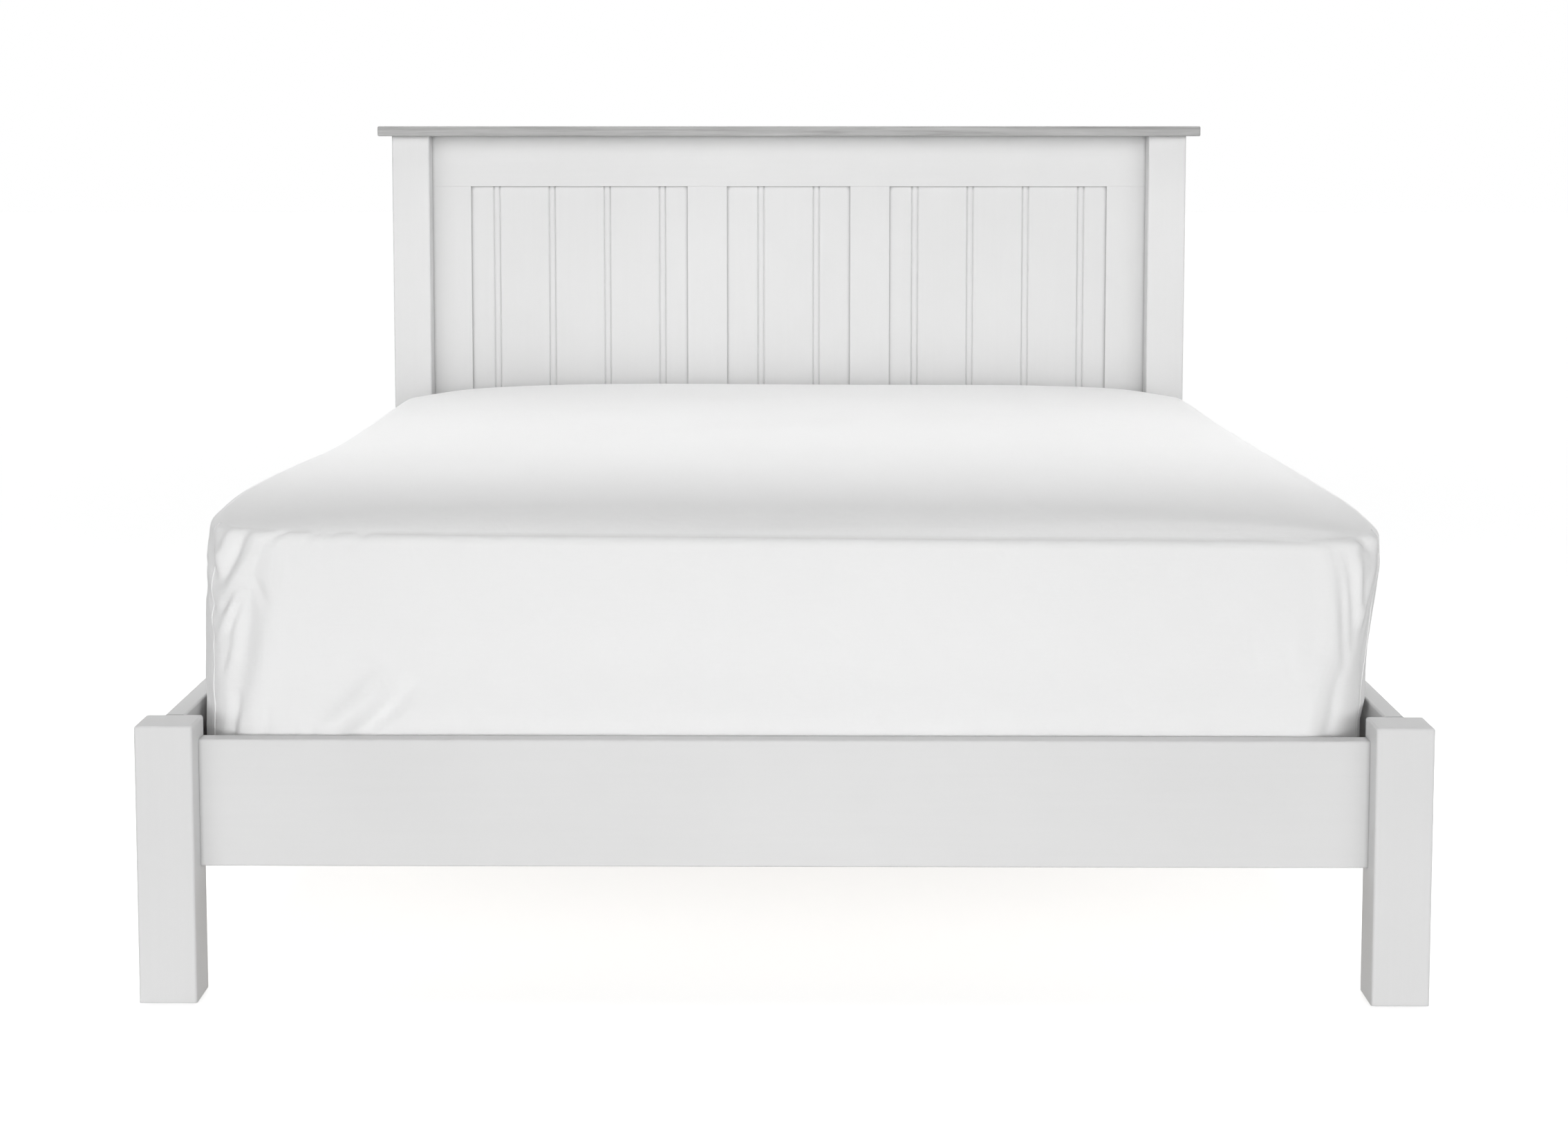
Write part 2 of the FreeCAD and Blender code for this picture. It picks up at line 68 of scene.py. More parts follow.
camera_data = bpy.data.cameras.new("camera")
camera_data.lens = lens_mm
camera_data.sensor_width = sensor_mm
camera_data.shift_x, camera_data.shift_y = shift_right, shift_up
camera = bpy.data.objects.new("camera", camera_data)
camera.location = camera_place
camera.rotation_euler = (math.pi / 2 - tilt_down, 0.0, turn_left)
bpy.context.scene.collection.objects.link(camera)
bpy.context.scene.camera = camera

# %% [markdown]
# ## Light
# White things on a white ground need soft light, or their edges disappear in glare.
# Most of it comes here from pale walls ahead and behind, and little from the sides and
# the ceiling, so the foot end is bright and every corner turns darker. One lamp hangs
# over the head half and a wider one over the middle; the top of the sheet darkens from
# there towards the foot. A third lamp stands in front. The room only looks white: its
# light is set apart from its look.

# %% Nodes and sums
def node(tree, kind, **sockets):
    """Adds a shader node and sets its sockets by name, with _ for a space."""
    made = tree.nodes.new("ShaderNode" + kind)
    for name, value in sockets.items():
        made.inputs[name.replace("_", " ")].default_value = value
    return made


def calc(tree, operation, first, second=0.0, third=None):
    """One Math node on sockets or numbers, and its result."""
    made = tree.nodes.new("ShaderNodeMath")
    made.operation = operation
    for slot_number, value in enumerate((first, second, third)):
        if value is None:
            continue
        if isinstance(value, (int, float)):
            made.inputs[slot_number].default_value = value
        else:
            tree.links.new(value, made.inputs[slot_number])
    return made.outputs[0]


def eased(tree, value, low, high, at_low, at_high):
    """Goes smoothly from at_low, where value is low, to at_high, where it is high."""
    step = tree.nodes.new("ShaderNodeMapRange")
    step.interpolation_type = "SMOOTHSTEP"
    names = ("Value", "From Min", "From Max", "To Min", "To Max")
    for name, setting in zip(names, (value, low, high, at_low, at_high)):
        if isinstance(setting, (int, float)):
            step.inputs[name].default_value = setting
        else:
            tree.links.new(setting, step.inputs[name])
    return step.outputs["Result"]


def seen_directly(tree):
    """1 for rays from the camera, from gloss and through glass; 0 for light that falls on things."""
    ray = tree.nodes.new("ShaderNodeLightPath").outputs
    first = calc(tree, "MAXIMUM", ray["Is Camera Ray"], ray["Is Glossy Ray"])
    return calc(tree, "MAXIMUM", first, ray["Is Transmission Ray"])


print("node tools ready")

# %% [markdown]
# The room is a world shader. Which way a ray looks decides how bright the room is there:
# Generated coordinates of a world give that direction, so the end walls, the side walls
# and the ceiling are three levels with smooth passages between them. An image of a real
# studio could do the same, but its lamps would show in the gloss of the paint.

# %% Room light
ceiling_light, side_light, wall_light = 0.04, 0.40, 3.30
end_walls_from, end_walls_full = 0.35, 0.90
ceiling_from, ceiling_full = 0.15, 0.60
white = (1, 1, 1, 1)

world = bpy.data.worlds.new("room")
bpy.context.scene.world = world
world.use_nodes = True
room = world.node_tree
room.nodes.clear()
split = room.nodes.new("ShaderNodeSeparateXYZ")
room.links.new(room.nodes.new("ShaderNodeTexCoord").outputs["Generated"], split.inputs[0])
to_end = calc(room, "ABSOLUTE", split.outputs["Y"])
walls = eased(room, to_end, end_walls_from, end_walls_full, side_light, wall_light)
level = eased(room, split.outputs["Z"], ceiling_from, ceiling_full, walls, ceiling_light)
grey_light = node(room, "Background", Color=white)
room.links.new(level, grey_light.inputs["Strength"])
white_look = node(room, "Background", Color=white, Strength=1.0)
choose = node(room, "MixShader")
room.links.new(seen_directly(room), choose.inputs[0])
room.links.new(grey_light.outputs[0], choose.inputs[1])
room.links.new(white_look.outputs[0], choose.inputs[2])
room.links.new(choose.outputs[0], node(room, "OutputWorld").inputs[0])
print("light from end walls", wall_light, "side walls", side_light, "ceiling", ceiling_light)

# %% Lamps
def soft_lamp(name, width, depth, place, aim, watts, spread):
    """A rectangular lamp that shines from place towards aim, spread degrees wide, itself unseen.

    Its two turns come from the line to its aim: the tilt from how far that line falls
    over its run, and the yaw from the line's direction on the floor.
    """
    data = bpy.data.lights.new(name, "AREA")
    data.shape, data.size, data.size_y, data.energy = "RECTANGLE", width, depth, watts
    data.spread = math.radians(spread)
    lamp = bpy.data.objects.new(name, data)
    reach = np.array(aim, float) - np.array(place, float)
    run = math.hypot(reach[0], reach[1])
    yaw = math.atan2(reach[0], -reach[1]) if run > 1e-6 else 0.0
    lamp.rotation_euler = (math.pi / 2 - math.atan2(-reach[2], run), 0, yaw + math.pi)
    lamp.location = place
    lamp.visible_camera = lamp.visible_glossy = False
    bpy.context.scene.collection.objects.link(lamp)
    print("lamp", name, watts, "W")


soft_lamp("over_the_head_half", width=2.6, depth=1.4, place=(0.0, 0.35, 2.4), aim=(0.0, 0.30, 0.6),
          watts=2.9, spread=110)
soft_lamp("over_the_middle", width=3.6, depth=1.8, place=(0.0, 0.0, 2.3), aim=(0.0, 0.0, 0.6),
          watts=12.6, spread=62)
soft_lamp("in_front", width=1.6, depth=0.5, place=(0.0, -3.6, 0.45), aim=(0.0, -1.0, 0.45),
          watts=5.9, spread=120)

# %% [markdown]
# ## Floor
# A plain pale floor. Its own colour is an ordinary pale one, so it throws a natural
# amount of light back up. Rays from the camera also see a little glow in it, which
# brings it up to white, and the bed's shadow still shows.

# %% Floor
floor_half, floor_grey, floor_glow = 30.0, 0.85, 0.735
floor_signs = ((-1, -1), (1, -1), (1, 1), (-1, 1))
floor_corners = [(x * floor_half, y * floor_half, 0) for x, y in floor_signs]
floor_mesh = bpy.data.meshes.new("floor")
floor_mesh.from_pydata(floor_corners, [], [(0, 1, 2, 3)])
floor = bpy.data.objects.new("floor", floor_mesh)
bpy.context.scene.collection.objects.link(floor)

floor_look = bpy.data.materials.new("pale_floor")
floor_look.use_nodes = True
tree = floor_look.node_tree
tree.nodes.clear()
matt = node(tree, "BsdfDiffuse", Color=(floor_grey, floor_grey, floor_grey, 1))
glow = node(tree, "Emission", Color=white)
tree.links.new(calc(tree, "MULTIPLY", seen_directly(tree), floor_glow), glow.inputs["Strength"])
both = node(tree, "AddShader")
tree.links.new(matt.outputs[0], both.inputs[0])
tree.links.new(glow.outputs[0], both.inputs[1])
tree.links.new(both.outputs[0], node(tree, "OutputMaterial").inputs[0])
floor_mesh.materials.append(floor_look)
print("floor laid")

# %% [markdown]
# ## Small tools for finishes
# A finish here is a Principled shader with three things worked into it: a colour that
# wanders a little, a gloss that wanders a little, and a fine relief. They are read off
# Object coordinates, which are metres from the bed's origin, so a pattern has one true
# size on every piece. Only the sheet's weave is read off the cloth's own flat map.

# %% A new finish, and where its patterns lie
def new_finish(name, colour, roughness, **flat_values):
    """A material with one Principled shader; flat values go on the shader's own sockets."""
    look = bpy.data.materials.new(name)
    look.use_nodes = True
    shader = look.node_tree.nodes["Principled BSDF"]
    shader.inputs["Base Color"].default_value = (*colour, 1)
    shader.inputs["Roughness"].default_value = roughness
    for socket, value in flat_values.items():
        shader.inputs[socket.replace("_", " ")].default_value = value
    return look, look.node_tree, shader


def placed(tree, stretch=(1, 1, 1), turn=(0, 0, 0), read="Object"):
    """Object coordinates, or the piece's own cloth map, stretched and turned."""
    if read == "Object":
        source = tree.nodes.new("ShaderNodeTexCoord").outputs["Object"]
    else:
        lay = tree.nodes.new("ShaderNodeUVMap")
        lay.uv_map = read
        source = lay.outputs[0]
    move = node(tree, "Mapping", Scale=stretch, Rotation=turn)
    tree.links.new(source, move.inputs["Vector"])
    return move.outputs[0]


def grain_stretch(axis, across=1.0, along=0.04):
    """Stretch that lets a pattern run along the timber: fibres lie on the axis named x, y or z."""
    return tuple(along if letter == axis else across for letter in "xyz")


print("patterns run along a timber with a stretch of", grain_stretch("x"))

# %% Patterns, tones and shares
def cloudy(tree, where, size, detail=2.0, rough=0.5, twist=0.0):
    """Noise whose patches repeat size times in a metre, as one number from 0 to 1."""
    made = node(tree, "TexNoise", Scale=size, Detail=detail, Roughness=rough, Distortion=twist)
    tree.links.new(where, made.inputs["Vector"])
    return made.outputs["Fac"]


def tones(tree, share, *steps):
    """Colours that share picks from: each step is (place from 0 to 1, (r, g, b))."""
    ramp = tree.nodes.new("ShaderNodeValToRGB")
    while len(ramp.color_ramp.elements) < len(steps):
        ramp.color_ramp.elements.new(0.5)
    for element, (place, colour) in zip(ramp.color_ramp.elements, steps):
        element.position, element.color = place, (*colour, 1)
    tree.links.new(share, ramp.inputs[0])
    return ramp.outputs[0]


def between(tree, share, low, high):
    """Turns 0 to 1 into low to high."""
    return calc(tree, "MULTIPLY_ADD", share, high - low, low)


print("noise and colour ramps ready")

# %% Relief, and painted shade in gaps
def relief(tree, shader, height, depth, base=None):
    """Raises and sinks the surface: height 0 to 1 stands for depth metres."""
    bump = node(tree, "Bump", Strength=1.0, Distance=depth)
    tree.links.new(height, bump.inputs["Height"])
    if base is not None:
        tree.links.new(base, bump.inputs["Normal"])
    tree.links.new(bump.outputs[0], shader.inputs["Normal"])
    return bump.outputs[0]


def painted_shade_in_gaps(tree, colour, reach, darkest):
    """The colour with painted shade: scaled down to the share darkest where other surfaces close in within
    reach.

    The share depends on how much of the sky over a point stays open: it is darkest up to
    the part closed, and 1 from the part clear.
    """
    closed, clear = 0.30, 0.85
    open_air = node(tree, "AmbientOcclusion", Distance=reach)
    open_air.samples = 8
    share = eased(tree, open_air.outputs["AO"], closed, clear, darkest, 1.0)
    scaled = node(tree, "VectorMath")
    scaled.operation = "SCALE"
    tree.links.new(colour, scaled.inputs[0])
    tree.links.new(share, scaled.inputs["Scale"])
    return scaled.outputs[0]


print("finish tools ready")

# %% [markdown]
# ## White satin paint
# The frame is timber under sprayed white paint. Real paint is never one flat white: it is
# a shade thinner here and there, the fibres under it rise by a few hundredths of a
# millimetre, and the spray leaves a very fine stipple. A Bevel node softens the sharp
# edges of each piece by the thickness that paint builds up there, and an occlusion node
# paints shade into the colour in the joints between pieces, so that they read as lines.

# %% Paint
paint_white, thin_paint, full_paint = 0.748, -0.022, 0.012
# How far the painted shade in gaps reaches, and the darkest share of the colour it leaves.
gap_shade_reach, gap_shade_share = 0.010, 0.60


def paint(axis):
    """Painted timber with its fibres along one axis, with shade painted into its colour within a
    centimetre of other pieces.
    """
    look, tree, shader = new_finish("white_paint_" + axis, (paint_white,) * 3, 0.45,
                                    Coat_Weight=0.12, Coat_Roughness=0.3)
    fibres = cloudy(tree, placed(tree, grain_stretch(axis)), 110, 4, 0.6, 0.3)
    patches = cloudy(tree, placed(tree), 3.1, 3, 0.5)
    mixed = calc(tree, "MULTIPLY_ADD", fibres, 0.25, calc(tree, "MULTIPLY", patches, 0.75))
    thin, full = (paint_white + thin_paint,) * 3, (paint_white + full_paint,) * 3
    colour = tones(tree, mixed, (0.3, thin), (0.7, full))
    # Painted shade: the colour darkens in the joints and gaps between pieces.
    tree.links.new(painted_shade_in_gaps(tree, colour, gap_shade_reach, gap_shade_share), shader.inputs["Base Color"])
    tree.links.new(between(tree, patches, 0.36, 0.54), shader.inputs["Roughness"])
    soft_edge = node(tree, "Bevel", Radius=0.0012)
    stipple = cloudy(tree, placed(tree), 700, 2, 0.5)
    first = relief(tree, shader, stipple, 0.00006, soft_edge.outputs[0])
    relief(tree, shader, fibres, 0.00012, first)
    return look


paints = {axis: paint(axis) for axis in "xyz"}
print("paint mixed for fibres along", list(paints))

# %% [markdown]
# ## Grey-washed cap
# The cap along the headboard is the one piece left as timber. Its wash sits in the open
# grain, so it is streaked from end to end with lighter and darker lines.

# %% Cap
def washed_timber():
    """Grey timber: long streaks, finer pores in them, and a low relief that follows both."""
    look, tree, shader = new_finish("grey_wash", (0.43,) * 3, 0.6)
    streaks = cloudy(tree, placed(tree, grain_stretch("x", 1, 0.035)), 95, 5, 0.62, 0.6)
    pores = cloudy(tree, placed(tree, grain_stretch("x", 1, 0.02)), 900, 2, 0.5)
    broad = cloudy(tree, placed(tree, grain_stretch("x", 1, 0.15)), 9, 2, 0.5)
    fine = calc(tree, "MULTIPLY_ADD", pores, 0.22, calc(tree, "MULTIPLY", broad, 0.18))
    mixed = calc(tree, "ADD", calc(tree, "MULTIPLY", streaks, 0.6), fine)
    colour = tones(tree, mixed, (0.32, (0.25, 0.248, 0.245)), (0.46, (0.38, 0.379, 0.376)),
                   (0.56, (0.435, 0.434, 0.431)), (0.68, (0.51, 0.509, 0.506)))
    tree.links.new(colour, shader.inputs["Base Color"])
    tree.links.new(between(tree, pores, 0.5, 0.75), shader.inputs["Roughness"])
    edge = node(tree, "Bevel", Radius=0.001)
    relief(tree, shader, mixed, 0.0005, edge.outputs[0])
    return look


cap_look = washed_timber()
print("cap wash mixed")

# %% [markdown]
# ## Bare timber and metal
# What the picture hides is plain: planed pine for slats, ledges, beam and legs, beech
# for dowels, bright zinc for bolts and brackets, and nylon for the glides.

# %% Bare timber
def pine(axis):
    """Planed pine: rings about a line through the bed's origin, bent by noise, with short fibres."""
    look, tree, shader = new_finish("planed_pine_" + axis, (0.71, 0.57, 0.40), 0.6)
    bent = placed(tree, grain_stretch(axis, 1, 0.06))
    rings = node(tree, "TexWave", Scale=22, Distortion=7.0, Detail=2.5, Detail_Scale=1.1)
    rings.wave_type = "RINGS"
    rings.rings_direction = axis.upper()
    tree.links.new(bent, rings.inputs["Vector"])
    fibres = cloudy(tree, placed(tree, grain_stretch(axis, 1, 0.02)), 420, 3, 0.6)
    warmth = cloudy(tree, placed(tree), 2.3, 2)
    fine = calc(tree, "MULTIPLY_ADD", fibres, 0.3, calc(tree, "MULTIPLY", warmth, 0.3))
    mixed = calc(tree, "MULTIPLY_ADD", rings.outputs["Fac"], 0.5, fine)
    colour = tones(tree, mixed, (0.22, (0.75, 0.66, 0.54)), (0.55, (0.70, 0.60, 0.47)),
                   (0.86, (0.58, 0.48, 0.35)))
    tree.links.new(colour, shader.inputs["Base Color"])
    tree.links.new(between(tree, fibres, 0.5, 0.72), shader.inputs["Roughness"])
    relief(tree, shader, mixed, 0.0002)
    return look


def beech_dowel():
    """Beech: pinkish, with short dark flecks along the fibres."""
    look, tree, shader = new_finish("beech", (0.62, 0.43, 0.28), 0.55)
    flecks = cloudy(tree, placed(tree, (1, 0.2, 1)), 800, 3, 0.6)
    colour = tones(tree, flecks, (0.35, (0.48, 0.30, 0.17)), (0.55, (0.64, 0.45, 0.30)))
    tree.links.new(colour, shader.inputs["Base Color"])
    relief(tree, shader, flecks, 0.0001)
    return look


pines = {axis: pine(axis) for axis in "xyz"}
beech_look = beech_dowel()
print("timbers planed")

# %% Metal and nylon
def bright_zinc():
    """Zinc plate: metal whose gloss changes in small patches, with fine rolled lines."""
    look, tree, shader = new_finish("bright_zinc", (0.62, 0.63, 0.64), 0.3, Metallic=1.0)
    patches = cloudy(tree, placed(tree), 160, 3, 0.6)
    colour = tones(tree, patches, (0.3, (0.52, 0.53, 0.55)), (0.7, (0.70, 0.71, 0.72)))
    tree.links.new(colour, shader.inputs["Base Color"])
    tree.links.new(between(tree, patches, 0.22, 0.46), shader.inputs["Roughness"])
    relief(tree, shader, cloudy(tree, placed(tree, (1, 1, 0.1)), 1500, 2), 0.00003)
    return look


def nylon():
    """Off-white nylon with a fine moulded grain."""
    look, tree, shader = new_finish("nylon", (0.62, 0.61, 0.58), 0.5)
    grain = cloudy(tree, placed(tree), 1200, 2)
    patches = cloudy(tree, placed(tree), 60, 2)
    colour = tones(tree, patches, (0.3, (0.56, 0.55, 0.52)), (0.7, (0.65, 0.64, 0.61)))
    tree.links.new(colour, shader.inputs["Base Color"])
    tree.links.new(between(tree, grain, 0.42, 0.62), shader.inputs["Roughness"])
    relief(tree, shader, grain, 0.00008)
    return look


zinc_look, nylon_look = bright_zinc(), nylon()
print("metal and nylon ready")

# %% [markdown]
# ## Each piece gets its finish
# The fibres of a board run along its longest side, so the script measures every node
# and picks the paint or pine whose fibres run that way.

# %% Put the finishes on
def longest_axis(name):
    """The letter of the axis along which a node is longest."""
    low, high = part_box(name)
    spans = [high[i] - low[i] for i in range(3)]
    return "xyz"[spans.index(max(spans))]


slot_of = {row["node"]: row["material_slot"] for row in frame["record"]["subparts"]}
one_look = {"cap_wood": cap_look, "beech": beech_look, "zinc_steel": zinc_look,
            "glide_plastic": nylon_look}
counts = {}
for name, thing in frame["nodes"].items():
    slot = slot_of.get(name, "")
    by_axis = pines if slot == "bare_pine" else paints
    look = one_look.get(slot) or by_axis[longest_axis(name)]
    for material_slot in thing.material_slots:
        material_slot.material = look
    counts[look.name] = counts.get(look.name, 0) + 1
print("finishes given:", counts)

# %% [markdown]
# ## The mattress and its fitted sheet: one shape, used twice
# Both are the same boxed form. Its plan is a rectangle with rounded corners whose sides
# draw in a little towards their middles. Its top swells to a crown. At the top edge it
# turns down in a tight roll, and the sides go down to a rounder roll underneath.
# The top is a grid of points, and the sides are rings that start on the grid's rim, so
# one pair of functions places every point of both pieces.

# %% Sizes of the boxed form
mattress_low, mattress_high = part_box("mattress")
half_width = (mattress_high.x - mattress_low.x) / 2
half_length = (mattress_high.y - mattress_low.y) / 2
middle_y = (mattress_high.y + mattress_low.y) / 2
base_z = mattress_low.z
mattress_depth = 0.305
edge_z = base_z + mattress_depth
corner_reach, side_draw = 0.100, 0.006
top_roll, low_roll = 0.010, 0.024
side_waist = 0.002
print("mattress", round(2 * half_width, 3), "by", round(2 * half_length, 3), "m")
print("its top edge lies at", round(edge_z, 4), "m")

# %% [markdown]
# A grid with even squares would waste points on the flat middle and leave the corners
# coarse. Here the points lie closer together near the ends, where the edge rolls over
# and the folds begin, so the corners are smooth without a Subdivision modifier.

# %% Where the grid's lines lie
cells_x, cells_y = 152, 72


def spread(cells, half, crowding, reach):
    """Places from -1 to 1 that lie closer together near both ends.

    Their density is 1 plus crowding times a bell curve about each end, reach wide in
    metres on a line of twice half. Adding it up gives the places.
    """
    samples = 4001
    fine = np.linspace(0, 1, samples)
    to_end = np.minimum(fine, 1 - fine) * 2 * half
    density = 1 + crowding * np.exp(-(to_end / reach) ** 2)
    total = np.concatenate([[0], np.cumsum((density[1:] + density[:-1]) / 2)])
    return 2 * np.interp(np.linspace(0, total[-1], cells + 1), total, fine) - 1


share_x = spread(cells_x, half_width, crowding=3.2, reach=0.26)
share_y = spread(cells_y, half_length, crowding=7.0, reach=0.08)
rim_x = np.concatenate([share_x[:-1], np.ones(cells_y), share_x[:0:-1], -np.ones(cells_y)])
rim_y = np.concatenate([-np.ones(cells_x), share_y[:-1], np.ones(cells_x), share_y[:0:-1]])
print("rim points:", len(rim_x))

# %% Plan
def plan(a, b, inset):
    """Place in plan of share (a, b) of a rectangle inset from the mattress's sides.

    In the square block at each corner, the square is bent to a quarter disc:
    each share is multiplied by the root of one less half the other share squared.
    Then each side is drawn in by side_draw at its middle, as a parabola.
    """
    wide, long = half_width - inset, half_length - inset
    x, y = a * wide, b * long
    p = np.clip((np.abs(x) - (wide - corner_reach)) / corner_reach, 0, 1)
    q = np.clip((np.abs(y) - (long - corner_reach)) / corner_reach, 0, 1)
    x = x - np.sign(x) * corner_reach * p * (1 - np.sqrt(1 - q * q / 2))
    y = y - np.sign(y) * corner_reach * q * (1 - np.sqrt(1 - p * p / 2))
    drawn_x = 1 - side_draw / half_width * (1 - b * b)
    drawn_y = 1 - side_draw / half_length * (1 - a * a)
    return x * drawn_x, y * drawn_y


print("corner of the plan:", [round(float(v), 3) for v in plan(1.0, 1.0, 0.0)])

# %% [markdown]
# ## The crown
# A sprung mattress isn't flat on top. This one is fuller in the middle and towards its
# foot corners, and lower at the head. Sculpting could shape that, but a sum of a few bell
# curves and powers is easier to change.

# %% Crown
peak_from_middle = 0.74
swell_left, swell_right = 0.029, 0.016
headward_left, headward_right = 0.55, 0.85
footward_left, footward_right = 0.30, 0.20
side_drop, head_dip, head_dip_reach = 0.002, 0.016, 0.17
foot_rise, foot_slope, left_corner_lift, head_drop = 0.002, 0.005, 0.006, 0.005
middle_rise, middle_slope, middle_bow, side_rise = 0.0205, 0.011, 0.004, 0.004
shoulder_side, shoulder_end, shoulder_less = 0.11, 0.13, 0.085


def crown(a, b):
    """Height of the top above the edge's own level, at share (a, b).

    The edge itself rises and falls. Along the sides it follows a bell curve with its
    peak 26 cm from the foot, 29 mm high on the left and 16 mm on the right, and it
    sinks by 16 mm at the head corners. Along the foot it slopes down to the right, and
    a sixth power of the share across lifts the left corner. The sides' edge takes over
    from the ends' edge with the eighth power of the share across.
    From the edge the top rises further, steeply at first, as a cubic that ends level.
    That shoulder is 11 cm wide along the sides. Along the ends it is 13 cm wide at the
    middle and narrows towards the corners with the square of the share across.
    """
    right = a > 0
    from_peak = b * half_length + peak_from_middle
    headward = np.where(right, headward_right, headward_left)
    footward = np.where(right, footward_right, footward_left)
    reach = np.where(from_peak > 0, headward, footward)
    bell = np.where(right, swell_right, swell_left) * np.exp(-(from_peak / reach) ** 2)
    dip = head_dip * np.exp(-((1 - b) * half_length / head_dip_reach) ** 2)
    side_edge = bell - side_drop - dip
    foot_edge = foot_rise + np.where(right, 0.0, left_corner_lift) * a ** 6 - foot_slope * a
    along = (b + 1) / 2
    near_side = np.abs(a) ** 8
    end_edge = foot_edge * (1 - along) - head_drop * along
    edge = near_side * side_edge + (1 - near_side) * end_edge
    middle = middle_rise - middle_slope * b + middle_bow * (1 - b * b)
    level = (1 - a ** 4) * middle + a ** 4 * (side_edge + side_rise)
    from_x = np.clip((1 - np.abs(a)) * half_width / shoulder_side, 0, 1)
    from_y = np.clip((1 - np.abs(b)) * half_length / (shoulder_end - shoulder_less * a * a), 0, 1)
    shoulder = (1 - (1 - from_x) ** 3) * (1 - (1 - from_y) ** 3)
    return edge + (level - edge) * shoulder


print("the middle of the top lies", round(float(crown(0.0, 0.0)) * 1000, 1), "mm above the edge's level")

# %% Section down the side
def section(steps_side, steps_under, hem):
    """Section from the top edge down and under, as how far each step lies inwards and how high.

    A quarter circle at the top edge, a side that draws in by side_waist at its middle as
    a squared sine, a quarter circle at the bottom, and a flat run underneath to the hem.
    """
    turn = np.linspace(0, np.pi / 2, 6)[1:]
    inset = list(top_roll * (1 - np.sin(turn)))
    height = list(edge_z - top_roll * (1 - np.cos(turn)))
    down = np.linspace(0, 1, steps_side + 1)[1:]
    top_of_side, foot_of_side = edge_z - top_roll, base_z + low_roll
    height += list(top_of_side + (foot_of_side - top_of_side) * down)
    inset += list(side_waist * np.sin(np.pi * down) ** 2)
    turn = np.linspace(0, np.pi / 2, 8)[1:]
    inset += list(low_roll * (1 - np.cos(turn)))
    height += list(foot_of_side - low_roll * np.sin(turn))
    under = np.linspace(0, 1, steps_under + 1)[1:]
    inset += list(low_roll + (hem - low_roll) * under)
    height += [base_z] * steps_under
    return np.array(inset), np.array(height)


side_steps, under_steps, hem_inset = 54, 5, 0.128
print("the sheet's section has", len(section(side_steps, under_steps, hem_inset)[0]), "points")

# %% Points of the boxed form
crown_fade = 0.3


def boxed_points(steps_side, steps_under, hem):
    """The top's grid row by row, the rings, and each rim point's place and step round the rim.

    A ring point takes its height from the section and adds a share of the crown: the
    cube of its height over the base, measured in crown_fade, so the crown fades out
    down the side.
    """
    a, b = (g.ravel() for g in np.meshgrid(share_x, share_y))
    x, y = plan(a, b, top_roll)
    top = np.stack([x, middle_y + y, edge_z + crown(a, b)], 1)
    inset, height = section(steps_side, steps_under, hem)
    x, y = plan(rim_x[None, :], rim_y[None, :], inset[:, None])
    lift = crown(rim_x, rim_y)[None, :] * np.clip((height - base_z) / crown_fade, 0, 1)[:, None] ** 3
    rings = np.stack([x, middle_y + y, height[:, None] + lift], 2)
    rim = np.stack(plan(rim_x, rim_y, 0.0), 1)
    step = np.linalg.norm(np.roll(rim, -1, 0) - rim, axis=1)
    around = np.concatenate([[0], np.cumsum(step)[:-1]])
    around = around - around[cells_x // 2]
    around = np.where(around > step.sum() / 2, around - step.sum(), around)
    return top, rings, around, step


print("the top's grid has", len(share_x) * len(share_y), "points")

# %% Faces of the boxed form
def boxed_faces(rings_count, closed):
    """Faces by counting: the top's grid, bands from its rim down the rings, the base if closed."""
    wide = cells_x + 1
    i, j = (g.ravel() for g in np.meshgrid(np.arange(cells_x), np.arange(cells_y)))
    grid = np.stack([j * wide + i, j * wide + i + 1, (j + 1) * wide + i + 1, (j + 1) * wide + i], 1)
    foot_side, right_side = np.arange(cells_x), np.arange(cells_y) * wide + cells_x
    head_side, left_side = cells_y * wide + np.arange(cells_x, 0, -1), np.arange(cells_y, 0, -1) * wide
    rim = np.concatenate([foot_side, right_side, head_side, left_side])
    around = len(rim)
    first = wide * (cells_y + 1)
    ring_rows = first + np.arange(rings_count * around).reshape(rings_count, around)
    rows = np.concatenate([rim[None, :], ring_rows])
    nxt = np.roll(rows, -1, 1)
    bands = np.stack([rows[:-1], rows[1:], nxt[1:], nxt[:-1]], 2).reshape(-1, 4)
    faces = [grid, bands]
    if closed:
        low = first + rings_count * around
        last, inner = rows[-1], low + rim
        faces.append(np.stack([last, inner, np.roll(inner, -1), np.roll(last, -1)], 1))
        faces.append(grid[:, ::-1] + low)
    return np.concatenate(faces)


print("a closed form with 10 rings has", len(boxed_faces(10, True)), "faces")

# %% Into a mesh
def surface(name, points, faces, look):
    """A smooth mesh object from an array of points and a list of faces, at the origin."""
    mesh = bpy.data.meshes.new(name)
    mesh.from_pydata(points.tolist(), [], faces)
    mesh.polygons.foreach_set("use_smooth", np.ones(len(mesh.polygons), bool))
    mesh.materials.append(look)
    mesh.update()
    made = bpy.data.objects.new(name, mesh)
    bpy.context.scene.collection.objects.link(made)
    print(name, len(mesh.vertices), "points", len(mesh.polygons), "faces")
    return made


def normals_of(piece):
    """Outward unit directions at every point of a mesh."""
    out = np.empty(len(piece.data.vertices) * 3)
    piece.data.vertex_normals.foreach_get("vector", out)
    return out.reshape(-1, 3)


print("mesh tools ready")

# %% [markdown]
# ## Folds in the sheet
# A fitted sheet is pulled tight by the elastic under the mattress. Slack that is left
# gathers at the upper corners and runs down from there in long soft folds. Each fold is
# a line from one place on the side to another, slightly curved, with a rounded
# cross-section that swells and dies out along it. Cloth simulation could find folds too,
# but the few that are seen lie at known places, and a formula puts them exactly there.

